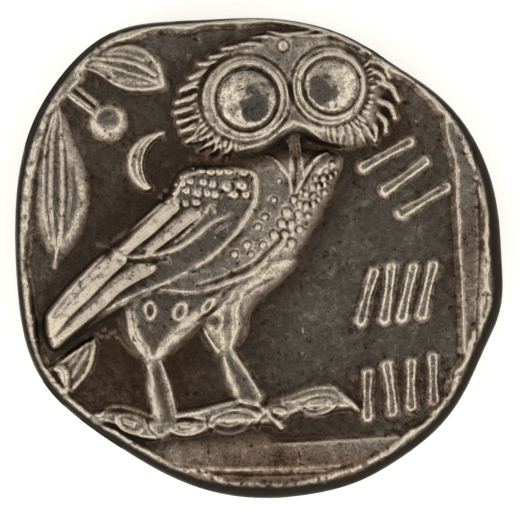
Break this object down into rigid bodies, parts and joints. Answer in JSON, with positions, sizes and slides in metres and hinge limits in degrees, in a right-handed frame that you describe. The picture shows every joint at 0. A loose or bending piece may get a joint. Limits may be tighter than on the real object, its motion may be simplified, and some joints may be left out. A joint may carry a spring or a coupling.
{
  "type": "tetradrachm coin",
  "caption": "Thick hand-struck silver coin with an owl in high relief on one side, a helmeted head on the other and an uneven hammered rim.",
  "frame": {"origin": "under the middle of the coin's bounding box, on the surface it lies on", "axes": "+Z out of the owl side, +Y towards the owl's head, +X to the right of someone looking at the owl"},
  "size_m": [0.0246, 0.0242, 0.0053],
  "materials": {
    "silver": "worn struck silver, toned dark brown-grey in its low places"
  },
  "bodies": {
    "root": {"coin": "silver"}
  },
  "joints": []
}
